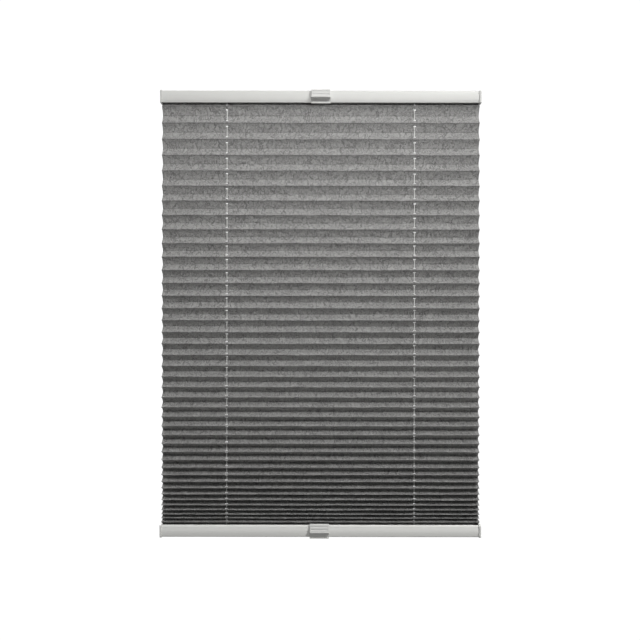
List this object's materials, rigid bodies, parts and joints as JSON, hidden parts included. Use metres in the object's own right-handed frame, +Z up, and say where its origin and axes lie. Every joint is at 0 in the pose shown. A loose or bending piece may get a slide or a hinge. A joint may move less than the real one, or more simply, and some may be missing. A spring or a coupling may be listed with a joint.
{
  "type": "pleated blind",
  "caption": "Tensioned pleated window blind: crinkled fabric folded between sliding aluminium rails with end caps and clip-on pull handles, running on taut cords from screw-on tension shoes.",
  "frame": {"origin": "midway between the two upper tension shoes' screw holes, on the plane that the shoes are screwed to", "axes": "+Z up along the cords, +X to the right seen from the front, front of the blind towards -Y"},
  "size_m": [0.6, 0.0303, 0.838],
  "materials": {
    "rail_metal": "satin light grey coat",
    "cap_plastic": "fine matt light grey moulding",
    "handle_plastic": "satin light grey moulding",
    "fabric": "crinkled pleated polyester, dark grey",
    "cord": "braided white polyester",
    "strip_plastic": "smooth pale plastic strip",
    "guide_plastic": "smooth pale grey moulding",
    "shoe_plastic": "satin pale grey moulding",
    "bead_plastic": "glossy white bead"
  },
  "bodies": {
    "cords": {"left_cord": "cord", "right_cord": "cord", "fabric": "fabric", "top_left_tension_shoe": "shoe_plastic", "top_left_cord_bead": "bead_plastic", "top_right_tension_shoe": "shoe_plastic", "top_right_cord_bead": "bead_plastic", "bottom_left_tension_shoe": "shoe_plastic", "bottom_left_cord_bead": "bead_plastic", "bottom_right_tension_shoe": "shoe_plastic", "bottom_right_cord_bead": "bead_plastic"},
    "top_rail": {"top_rail": "rail_metal", "top_left_end_cap": "cap_plastic", "top_right_end_cap": "cap_plastic", "top_handle": "handle_plastic", "top_fabric_strip": "strip_plastic", "top_left_cord_guide": "guide_plastic", "top_right_cord_guide": "guide_plastic", "top_front_crossing_cord": "cord", "top_rear_crossing_cord": "cord"},
    "bottom_rail": {"bottom_rail": "rail_metal", "bottom_left_end_cap": "cap_plastic", "bottom_right_end_cap": "cap_plastic", "bottom_handle": "handle_plastic", "bottom_fabric_strip": "strip_plastic", "bottom_left_cord_guide": "guide_plastic", "bottom_right_cord_guide": "guide_plastic", "bottom_front_crossing_cord": "cord", "bottom_rear_crossing_cord": "cord"}
  },
  "joints": [
    {"name": "top_rail_slide", "type": "slide", "parent": "cords", "child": "top_rail", "axis": [0, 0, 1], "range_m": [-0.366, 0], "deforming": ["fabric"]},
    {"name": "bottom_rail_slide", "type": "slide", "parent": "cords", "child": "bottom_rail", "axis": [0, 0, 1], "range_m": [0, 0.372], "deforming": ["fabric"]}
  ]
}
